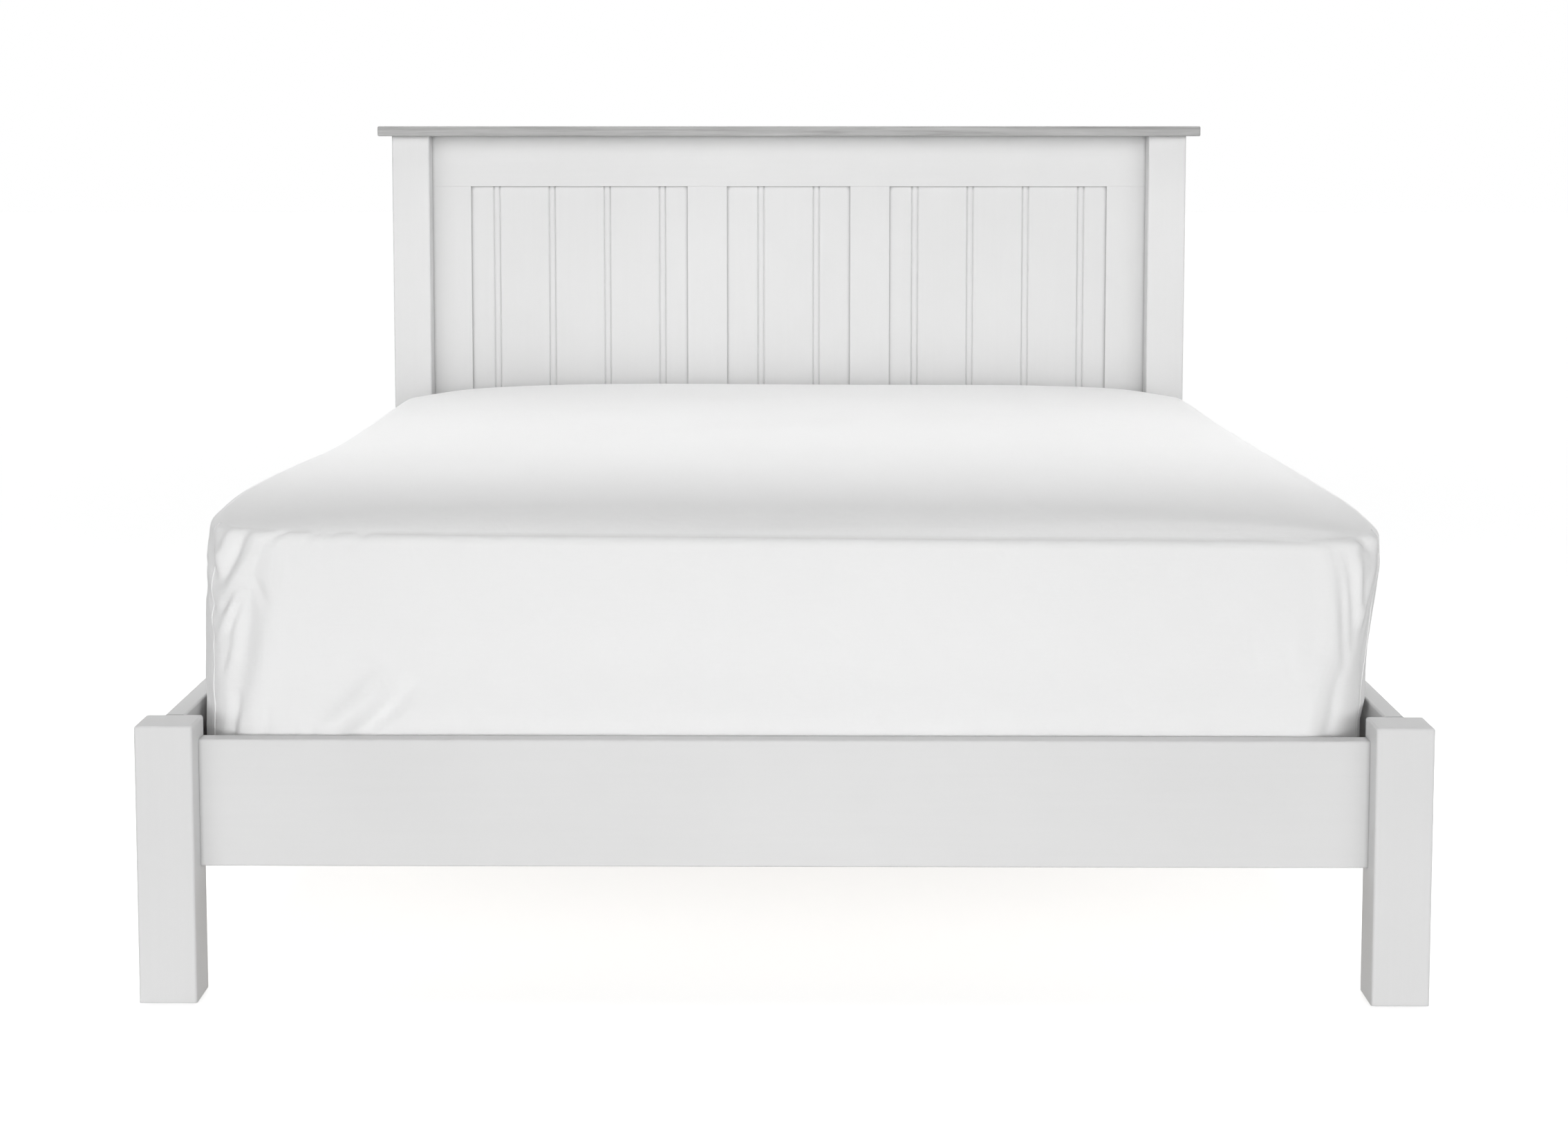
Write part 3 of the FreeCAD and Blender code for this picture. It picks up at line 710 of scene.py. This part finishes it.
# %% The formula of a fold
def fold_height(s, z, folds):
    """Sum of folds. Each is (s1, z1, s2, z2, curve, half width, height).

    s is the distance round the rim from the foot's middle, and z the height.
    Along the line the height follows a sine arch to the power 0.7; across it, a bell
    curve. The curve is how far the middle of the line bows sideways.
    """
    total = np.zeros_like(s)
    for s1, z1, s2, z2, curve, wide, high in folds:
        run, fall = s2 - s1, z2 - z1
        length = math.hypot(run, fall)
        along = ((s - s1) * run + (z - z1) * fall) / length ** 2
        off = ((z - z1) * run - (s - s1) * fall) / length - curve * 4 * along * (1 - along)
        inside = (along > 0) & (along < 1)
        arch = np.where(inside, np.sin(np.pi * np.clip(along, 0, 1)) ** 0.7, 0)
        total += high * arch * np.exp(-(off / wide) ** 2)
    return total


middle_of_a_fold = fold_height(np.array([0.5]), np.array([0.0]), [(0, 0, 1, 0, 0, 0.01, 0.002)])
print("a fold 2 mm high is", round(float(middle_of_a_fold[0]) * 1000, 1), "mm high at its middle")

# %% Folds at the left foot corner
mm = 0.001
front_left = [
    (-0.690, 0.592, -0.728, 0.512, 0.004, 7 * mm, -9.0 * mm),
    (-0.712, 0.590, -0.738, 0.535, 0.002, 6 * mm, 5.0 * mm),
    (-0.672, 0.582, -0.716, 0.490, 0.005, 8 * mm, 5.5 * mm),
    (-0.682, 0.545, -0.726, 0.478, 0.003, 6 * mm, -7.0 * mm),
    (-0.694, 0.520, -0.724, 0.455, 0.003, 5 * mm, 3.4 * mm),
    (-0.692, 0.505, -0.722, 0.440, 0.002, 5 * mm, -5.5 * mm),
    (-0.704, 0.470, -0.722, 0.400, 0.002, 5 * mm, -3.6 * mm),
    (-0.676, 0.580, -0.700, 0.345, 0.006, 16 * mm, -8.0 * mm),
    (-0.642, 0.572, -0.660, 0.380, 0.005, 14 * mm, 3.4 * mm),
    (-0.640, 0.574, -0.634, 0.510, 0.001, 8 * mm, -4.0 * mm),
    (-0.642, 0.590, -0.672, 0.562, 0.000, 6 * mm, -5.0 * mm),
    (-0.600, 0.590, -0.626, 0.552, 0.001, 6 * mm, -5.0 * mm),
    (-0.582, 0.588, -0.606, 0.552, 0.001, 6 * mm, -4.4 * mm),
    (-0.540, 0.590, -0.567, 0.552, 0.001, 6 * mm, -4.6 * mm),
    (-0.672, 0.528, -0.652, 0.488, 0.001, 6 * mm, -3.8 * mm),
    (-0.560, 0.322, -0.470, 0.402, -0.010, 9 * mm, -11.0 * mm),
    (-0.586, 0.338, -0.500, 0.418, -0.009, 14 * mm, 9.5 * mm),
    (-0.706, 0.290, -0.692, 0.385, 0.002, 7 * mm, -6.0 * mm),
    (-0.656, 0.300, -0.651, 0.368, 0.001, 7 * mm, -4.0 * mm),
    (-0.620, 0.300, -0.616, 0.352, 0.001, 7 * mm, -3.0 * mm),
    (-0.592, 0.300, -0.594, 0.350, 0.001, 6 * mm, -3.0 * mm),
]
print("folds placed by hand on the left:", len(front_left))

# %% Folds at the right foot corner
front_right = [
    (0.668, 0.580, 0.710, 0.405, 0.007, 8 * mm, -5.5 * mm),
    (0.684, 0.575, 0.722, 0.430, 0.004, 8 * mm, -5.0 * mm),
    (0.678, 0.560, 0.712, 0.430, 0.006, 7 * mm, 3.4 * mm),
    (0.702, 0.570, 0.730, 0.460, 0.003, 8 * mm, 4.0 * mm),
    (0.718, 0.545, 0.729, 0.485, 0.001, 6 * mm, -4.0 * mm),
    (0.696, 0.584, 0.742, 0.553, 0.006, 7 * mm, -5.0 * mm),
    (0.712, 0.590, 0.756, 0.560, 0.006, 7 * mm, 4.0 * mm),
    (0.640, 0.580, 0.668, 0.380, 0.003, 18 * mm, -4.0 * mm),
    (0.586, 0.474, 0.600, 0.406, -0.003, 6 * mm, -3.4 * mm),
    (0.628, 0.444, 0.643, 0.396, 0.000, 6 * mm, -3.0 * mm),
    (0.690, 0.290, 0.704, 0.420, 0.003, 10 * mm, -4.0 * mm),
    (0.660, 0.320, 0.676, 0.430, 0.003, 12 * mm, 2.6 * mm),
]
print("folds placed by hand on the right:", len(front_right))

# %% [markdown]
# The photographed bed shows the folds of the two corners at the foot. The two at the
# head are hidden, so they get the same folds turned round, and each long side gets the
# folds of its corners again, fainter, on its own side of the seam.

# %% Distances round the rim
flat_front = half_width - corner_reach
flat_side = half_length - corner_reach
arc = corner_reach * np.pi / 2
loop = 4 * (flat_front + flat_side) + 4 * arc
seam_s = 0.732
corner_middle = flat_front + arc / 2
head_left, head_right = -(loop / 2 - seam_s), loop / 2 - seam_s
head_corner = loop / 2 - corner_middle
print("once round the rim is", round(loop, 3), "m, and a corner's middle lies at", round(corner_middle, 3))

# %% Folds all the way round
def moved(folds, about, to, flip, strength):
    """The same folds measured from about and laid out from to, turned round if flip is -1."""
    return [(to + flip * (s1 - about), z1, to + flip * (s2 - about), z2,
             flip * curve, wide, high * strength) for s1, z1, s2, z2, curve, wide, high in folds]


everywhere = (front_left + front_right
              + moved(front_left, -seam_s, head_left, -1, 0.8)
              + moved(front_right, seam_s, head_right, -1, 0.8)
              + moved(front_left, -corner_middle, -corner_middle, -1, 0.6)
              + moved(front_right, corner_middle, corner_middle, -1, 0.6)
              + moved(front_right, corner_middle, -head_corner, 1, 0.5)
              + moved(front_left, -corner_middle, head_corner, 1, 0.5))
print("folds in all:", len(everywhere))

# %% [markdown]
# ## Slack and sway
# Between the folds the cloth waves a little, and the whole sheet stands slightly off its
# true box: it bulges over the right rail, spreads less on the left, and leans back at its
# foot end. Both are sums on the points as well. A lattice could bend the sheet as much,
# but then the seams and the mattress inside would need the same lattice.

# %% Slack
slack_high, slack_fade = 0.0006, 0.05


def slack(s, z):
    """Very shallow waves of loose cloth: three sine waves of weights 1, 0.6 and 0.4.

    They fade out over slack_fade metres below the top edge.
    """
    waves = (np.sin(9.1 * s + 4.0 * z) + 0.6 * np.sin(17.3 * s - 9.0 * z + 1.3)
             + 0.4 * np.sin(31.7 * s + 14.0 * z + 0.4))
    return slack_high * waves * np.clip((edge_z - z) / slack_fade, 0, 1)


print("slack waves are up to", round(2 * slack_high / mm, 2), "mm high")

# %% Sway
sway_from, sway_over = 0.36, 0.22
left_spread, left_more, left_back = 0.0045, 0.0025, 0.007
right_swell, right_more = 0.006, 0.020
foot_back, foot_forward, foot_belly = 0.020, 0.0055, 0.006
forward_below, forward_over = 0.42, 0.09


def lean(points):
    """The sheet's sway, worked out from up, which goes from 0 above the rails to 1 at the top.

    The left side spreads by 4.5 mm, by 7 mm above the rails, and comes back at its top
    with the cube of up. The right side swells by 6 mm above the rails and by 26 mm
    towards its top. Between the sides the two shifts are mixed by the share across.
    The foot end leans back by 20 mm times the cube of up. Below 42 cm it lies forward
    towards the foot rail, by 5.5 mm and at its middle by 6 mm more, easing in smoothly.
    """
    up = np.clip((points[:, 2] - sway_from) / sway_over, -0.25, 1)
    left = left_back * np.clip(up, 0, 1) ** 3 - left_spread - left_more * np.clip(up / 0.1, 0, 1)
    right = right_swell * np.clip(1 + up / 0.12, 0, 1) + right_more * np.clip(up / 0.8, 0, 1) ** 1.2
    across = (points[:, 0] / half_width + 1) / 2
    foot = np.clip(-points[:, 1] / half_length, 0, 1)
    low = np.clip((forward_below - points[:, 2]) / forward_over, 0, 1)
    forward = foot_forward + foot_belly * (1 - np.clip(points[:, 0] / half_width, -1, 1) ** 2)
    shifted = points.copy()
    shifted[:, 0] += left + (right - left) * np.clip(across, 0, 1)
    shifted[:, 1] += foot * (foot_back * np.clip(up, 0, 1) ** 3 - forward * low * low * (3 - 2 * low))
    return shifted


top_corner = np.array([[half_width, -half_length, edge_z]])
print("the right foot corner sways by", (lean(top_corner) - top_corner).round(4)[0].tolist(), "m")

# %% [markdown]
# ## The cloth's points
# The cloth lies just outside the mattress. Its points are the boxed form's, pushed
# outwards by the cloth's gap, the folds and the slack, and then swayed. The outward
# directions come from a plain mesh of the same form, which is thrown away again.

# %% The sheet's points
cloth_lift, ripple_high = 0.0011, 0.0005
lies_flat, faces_up = 0.95, 0.9
top, rings, around, step = boxed_points(side_steps, under_steps, hem_inset)
ring_count = rings.shape[0]
sheet_points = np.concatenate([top, rings.reshape(-1, 3)])
sheet_faces = boxed_faces(ring_count, False)


def along_the_rim(top_count, rings_count, base_count):
    """Each point's place round the rim, and 1 if it is on a ring or 0 on the top or the base."""
    ends = np.zeros(top_count), np.zeros(base_count)
    place = np.concatenate([ends[0], np.tile(around, rings_count), ends[1]])
    return place, np.concatenate([ends[0], np.ones(rings_count * len(around)), ends[1]])


bare = surface("measure", sheet_points, sheet_faces.tolist(), paints["x"])
outward = normals_of(bare)
bpy.data.objects.remove(bare)

s_all, on_ring = along_the_rim(len(top), ring_count, 0)
x_all, y_all, z_all = sheet_points.T
on_side = on_ring * (np.abs(outward[:, 2]) < lies_flat)
fold = (fold_height(s_all, z_all, everywhere) + slack(s_all, z_all)) * on_side
ripple = ripple_high * (np.sin(7.0 * x_all + 3.1 * y_all) + np.sin(11.0 * y_all - 5.0 * x_all + 2.0))
fold = fold + ripple * (1 - on_side) * (outward[:, 2] > faces_up)
draped = lean(sheet_points + outward * (cloth_lift + fold)[:, None])
print("folds reach from", round(fold.min() * 1000, 1), "to", round(fold.max() * 1000, 1), "mm")

# %% [markdown]
# ## Cotton
# The sheet is plain woven cotton. Its threads are far finer than a pixel of the picture,
# so the weave is a very low relief on the cloth's own map, with two coarser layers over
# it: faint slubs, and the soft crumple that washing leaves. Sheen gives the pale edge
# that cotton shows where it turns away.

# %% Cotton finish
def cotton():
    """Woven cotton: two crossed sets of threads, slubs, and a soft crumple."""
    look, tree, shader = new_finish("sheet_cotton", (0.905,) * 3, 0.85, Sheen_Weight=0.25,
                                    Sheen_Roughness=0.4, Specular_IOR_Level=0.25)
    lay = placed(tree, read="cloth")
    warp = node(tree, "TexWave", Scale=420, Distortion=0.6, Detail=1)
    weft = node(tree, "TexWave", Scale=420, Distortion=0.6, Detail=1)
    weft.bands_direction = "Y"
    for threads in (warp, weft):
        tree.links.new(lay, threads.inputs["Vector"])
    weave = calc(tree, "MULTIPLY", warp.outputs["Fac"], weft.outputs["Fac"])
    slubs = cloudy(tree, placed(tree, (1, 14, 1), read="cloth"), 30, 3, 0.6)
    crumple = cloudy(tree, placed(tree), 16, 3, 0.5, 0.6)
    clouds = cloudy(tree, placed(tree), 3.0, 2)
    fine = calc(tree, "MULTIPLY_ADD", weave, 0.25, calc(tree, "MULTIPLY", clouds, 0.45))
    shade = calc(tree, "MULTIPLY_ADD", slubs, 0.3, fine)
    colour = tones(tree, shade, (0.2, (0.89,) * 3), (0.75, (0.92,) * 3))
    tree.links.new(colour, shader.inputs["Base Color"])
    first = relief(tree, shader, weave, 0.00012)
    second = relief(tree, shader, slubs, 0.00010, first)
    relief(tree, shader, crumple, 0.0016, second)
    return look


cotton_look = cotton()
print("cotton woven")

# %% [markdown]
# ## The fitted sheet
# The sheet is one surface with a wall from a Solidify modifier. Its weave has to follow
# the cloth, so it gets a map of its own, laid out flat in metres as a cutter would see
# it. Unwrapping it with Blender's tools would stretch the map at the corners.

# %% The fitted sheet
cloth_thick = 0.001


def cloth_map(piece):
    """The piece's own map, in metres of flat cloth: the top as it lies, the sides unrolled.

    A side point's place is its distance round the rim and the run of cloth above it.
    """
    path = np.concatenate([rings[:1, 0], rings[:, 0]])
    down = np.concatenate([[0.0], np.cumsum(np.sqrt((np.diff(path, axis=0) ** 2).sum(1)))])
    top_uv = sheet_points[sheet_faces[:cells_x * cells_y], :2].reshape(-1, 2)
    counts_down, counts_round = np.arange(ring_count), np.arange(len(around))
    r, k = (g.ravel() for g in np.meshgrid(counts_down, counts_round, indexing="ij"))
    u0, u1, v0, v1 = around[k], around[k] + step[k], down[r], down[r + 1]
    side_uv = np.stack([u0, v0, u0, v1, u1, v1, u1, v0], 1).reshape(-1, 2)
    layer = piece.data.uv_layers.new(name="cloth")
    layer.data.foreach_set("uv", np.concatenate([top_uv, side_uv]).astype(np.float32).ravel())
    return down[-1]


sheet = surface("fitted_sheet_cotton", draped, sheet_faces.tolist(), cotton_look)
depth = cloth_map(sheet)
wall = sheet.modifiers.new("cloth thickness", "SOLIDIFY")
wall.thickness, wall.offset = cloth_thick, 0.0
print("cloth goes", round(depth, 3), "m down from the top edge to the hem")

# %% [markdown]
# ## Seams and hem
# The four corners of a fitted sheet are sewn. Each seam is a narrow doubled band that
# stands a little proud. The hem underneath holds the elastic. Both are one rounded
# profile carried along a path of points on the sheet.

# %% Carry a profile along a path
def carried(name, path, side, up, wide, high, look, closed=False):
    """A flat band: at each path point an oval, wide along side and high along up.

    The oval's height is the 0.7 power of the sine, which makes it fuller than an ellipse.
    """
    turn = np.linspace(0, 2 * np.pi, 10, endpoint=False)
    out_wide = np.cos(turn) * wide / 2
    out_high = np.sign(np.sin(turn)) * np.abs(np.sin(turn)) ** 0.7 * high / 2
    oval = (path[:, None, :] + side[:, None, :] * out_wide[None, :, None]
            + up[:, None, :] * out_high[None, :, None])
    rows = np.arange(len(path) * len(turn)).reshape(len(path), len(turn))
    start, end = (rows, np.roll(rows, -1, 0)) if closed else (rows[:-1], rows[1:])
    corners = [start, np.roll(start, -1, 1), np.roll(end, -1, 1), end]
    quads = np.stack(corners, 2).reshape(-1, 4).tolist()
    if not closed:
        quads += [rows[0, ::-1].tolist(), rows[-1].tolist()]
    return surface(name, oval.reshape(-1, 3), quads, look)


print("profile tool ready")

# %% A path down the side
swing_from, swing_over = 0.30, 0.28
ring_places = draped[len(top):].reshape(rings.shape)
ring_out = outward[len(top):].reshape(rings.shape)


def down_the_side(where, swing):
    """Points and outward directions down the sheet, at distance where round the rim.

    Towards the top the line swings off by swing metres, times the cube of how far it
    has come from 30 cm to 58 cm high.
    """
    order = np.argsort(around)
    last = ring_count - under_steps
    height = ring_places[:last, 0, 2]
    at = where + swing * np.clip((height - swing_from) / swing_over, 0, 1) ** 3

    def read(rows):
        """Values of each ring's row between its points, at the line's place on that ring."""
        return np.stack([[np.interp(at[r], around[order], rows[r, order, axis]) for axis in range(3)]
                         for r in range(last)])

    place, out = read(ring_places), read(ring_out)
    return place, out / np.linalg.norm(out, axis=1)[:, None]


print("a line down the side has", ring_count - under_steps, "points")

# %% Corner seams
seam_wide, seam_high, seam_proud = 0.0030, 0.0014, 0.0006
seam_lines = {"foot_left": (-0.736, -0.018), "foot_right": (0.761, 0.010),
              "head_left": (head_left, 0.015), "head_right": (head_right, -0.015)}
seams = []
for corner, (where, swing) in seam_lines.items():
    place, out = down_the_side(where, swing)
    run = np.gradient(place, axis=0)
    run /= np.linalg.norm(run, axis=1)[:, None]
    seams.append(carried("corner_seam_" + corner, place + out * seam_proud, np.cross(run, out), out,
                         seam_wide, seam_high, cotton_look))
print("corner seams:", len(seams))

# %% Elastic hem
hem_wide, hem_high = 0.010, 0.0014
hem_path = ring_places[-1]
hem_run = np.roll(hem_path, -1, 0) - np.roll(hem_path, 1, 0)
hem_run /= np.linalg.norm(hem_run, axis=1)[:, None]
hem_up = np.tile([[0.0, 0.0, 1.0]], (len(hem_path), 1))
hem = carried("elastic_hem", hem_path, np.cross(hem_up, hem_run), hem_up, hem_wide, hem_high,
              cotton_look, closed=True)
hem_round = np.linalg.norm(np.roll(hem_path, -1, 0) - hem_path, axis=1).sum()
print("the hem is", round(hem_round, 2), "m round")

# %% [markdown]
# ## Mattress
# Under the sheet lies the same form, a little smaller, closed underneath with its own
# grid. It sinks where the sheet's folds sink, so the cloth never dips into it. Its cover
# is knitted ticking, sewn in diamonds, and the base shows when the mattress is lifted
# off: along two crossed sets of lines the quilting draws the cover up, with shade
# painted into the colour along them.

# %% Ticking finish
def ticking():
    """Knitted cover: small ribs, and sewn diamonds whose lines sink, with shade painted into the colour
    along them.
    """
    look, tree, shader = new_finish("mattress_ticking", (0.78, 0.77, 0.74), 0.9, Sheen_Weight=0.2)
    ribs = node(tree, "TexWave", Scale=130, Distortion=1.0, Detail=2)
    tree.links.new(placed(tree, turn=(0, 0, 0.785)), ribs.inputs["Vector"])
    lines = []
    for angle in (math.radians(45), math.radians(-45)):
        sewn = node(tree, "TexWave", Scale=2.9, Distortion=0.0)
        tree.links.new(placed(tree, turn=(0, 0, angle)), sewn.inputs["Vector"])
        lines.append(calc(tree, "POWER", sewn.outputs["Fac"], 0.35))
    diamonds = calc(tree, "MINIMUM", *lines)
    # Painted shade: the colour darkens along the sunk quilting lines.
    painted_quilt_shade = calc(tree, "MULTIPLY", diamonds, 0.75)
    shade = calc(tree, "MULTIPLY_ADD", ribs.outputs["Fac"], 0.25, painted_quilt_shade)
    colour = tones(tree, shade, (0.1, (0.62, 0.61, 0.58)), (0.6, (0.80, 0.79, 0.76)))
    tree.links.new(colour, shader.inputs["Base Color"])
    first = relief(tree, shader, ribs.outputs["Fac"], 0.0003)
    relief(tree, shader, diamonds, 0.004, first)
    return look


ticking_look = ticking()
print("ticking knitted")

# %% The mattress itself
pad_side_steps, pad_under_steps, pad_turn_under = 24, 1, 0.034
quilt_step, quilt_depth = 0.15, 0.0012
base_inset, pad_inset = 0.060, 0.0016

top_p, rings_p, _, _ = boxed_points(pad_side_steps, pad_under_steps, pad_turn_under)
a_in, b_in = (g.ravel() for g in np.meshgrid(share_x, share_y))
x_in, y_in = plan(a_in, b_in, base_inset)
one_way = np.abs(np.sin(np.pi * (x_in + y_in) / quilt_step))
other_way = np.abs(np.sin(np.pi * (x_in - y_in) / quilt_step))
quilting = quilt_depth * (1 - np.minimum(one_way, other_way)) ** 4
base_p = np.stack([x_in, middle_y + y_in, base_z + quilting], 1)
pad_points = np.concatenate([top_p, rings_p.reshape(-1, 3), base_p])
pad_faces = boxed_faces(rings_p.shape[0], True)
pad = surface("mattress_pad", pad_points, pad_faces.tolist(), ticking_look)
pad_out = normals_of(pad)
s_pad, on_ring = along_the_rim(len(top_p), rings_p.shape[0], len(base_p))
side_pad = on_ring * (np.abs(pad_out[:, 2]) < lies_flat)
pressed = np.minimum(fold_height(s_pad, pad_points[:, 2], everywhere), 0) * side_pad
inward = np.where(pad_out[:, 2] < -faces_up, 0.0, pad_inset)
pad_final = lean(pad_points + pad_out * (pressed - inward)[:, None])
pad.data.vertices.foreach_set("co", pad_final.astype(np.float32).ravel())
pad.data.update()
print("mattress pad", len(pad.data.polygons), "faces")

# %% [markdown]
# ## What the soft pieces ride on
# The picture alone can't tell cloth from board. These lines make everything soft rise
# with the mattress, and hide the imported mattress and fitted sheet that the new
# pieces stand for.

# %% What each soft piece rides on; the imported ones are hidden
for piece in [sheet, hem, pad] + seams:
    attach(piece, "mattress")
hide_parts("fitted_sheet")
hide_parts("mattress")

# %% [markdown]
# ## Colours
# The Standard view keeps each colour as it is written.

bpy.context.scene.view_settings.view_transform = "Standard"
